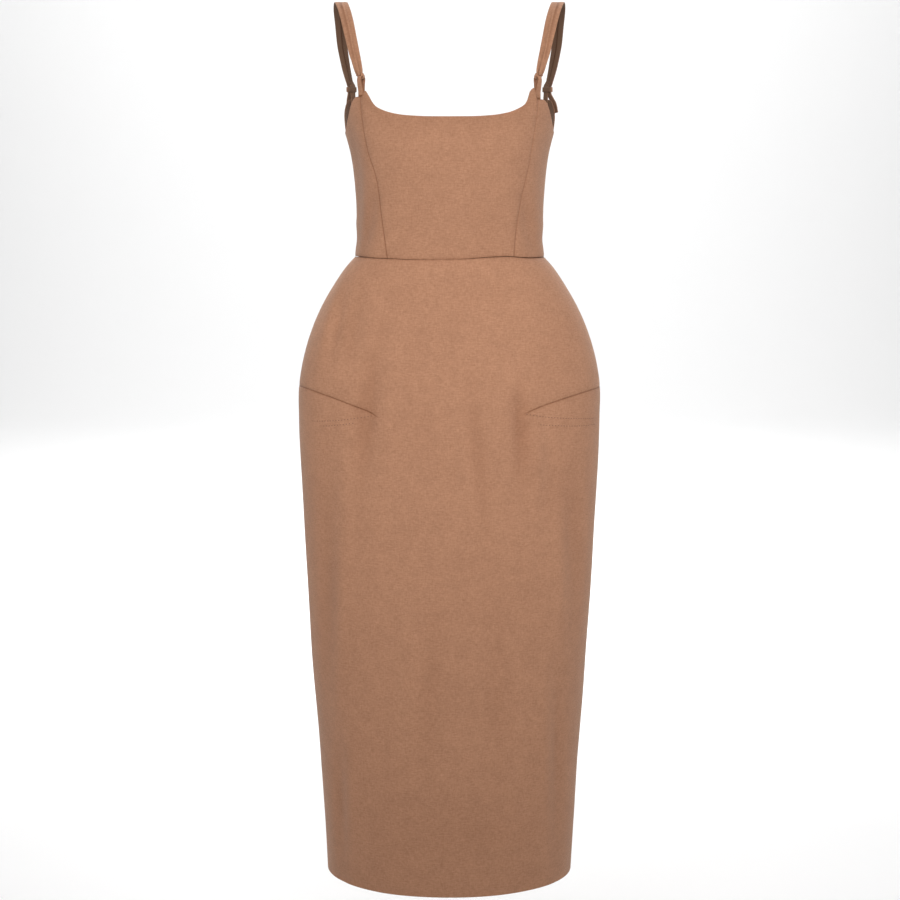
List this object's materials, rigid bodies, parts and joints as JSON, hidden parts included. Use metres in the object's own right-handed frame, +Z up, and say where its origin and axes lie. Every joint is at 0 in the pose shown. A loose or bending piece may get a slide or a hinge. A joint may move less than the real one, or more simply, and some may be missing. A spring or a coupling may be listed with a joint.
{
  "type": "slip dress",
  "caption": "Worn-shape hollow slip dress in brown wool: seamed bodice, rounded darted hips, long pencil skirt, doubled straps through loops, back zip.",
  "frame": {"origin": "midway between the undersides of the two shoulder straps, where the wearer's shoulders hold the dress", "axes": "+Z up, -Y out of the dress's front, +X to the wearer's left"},
  "size_m": [0.405, 0.2655, 1.171],
  "materials": {
    "wool": "matt milled wool",
    "zip_tape": "matt woven tape",
    "zip_metal": "satin enamel in the cloth's colour"
  },
  "bodies": {
    "dress": {"bodice_centre_front": "wool", "bodice_side_front_left": "wool", "bodice_side_front_right": "wool", "bodice_side_back_left": "wool", "bodice_side_back_right": "wool", "bodice_back_left": "wool", "bodice_back_right": "wool", "skirt_front": "wool", "skirt_back_left": "wool", "skirt_back_right": "wool", "strap_left": "wool", "strap_right": "wool", "strap_loop_left": "wool", "strap_loop_right": "wool", "strap_keeper_left": "wool", "strap_keeper_right": "wool", "zip_tape": "zip_tape", "zip_slider": "zip_metal"},
    "pull": {"zip_pull": "zip_metal"}
  },
  "joints": [
    {"name": "zip_pull_swing", "type": "hinge", "parent": "dress", "child": "pull", "pos_m": [0, 0.09102, -0.1745], "axis": [1, 0, 0], "range_deg": [0, 165]}
  ]
}
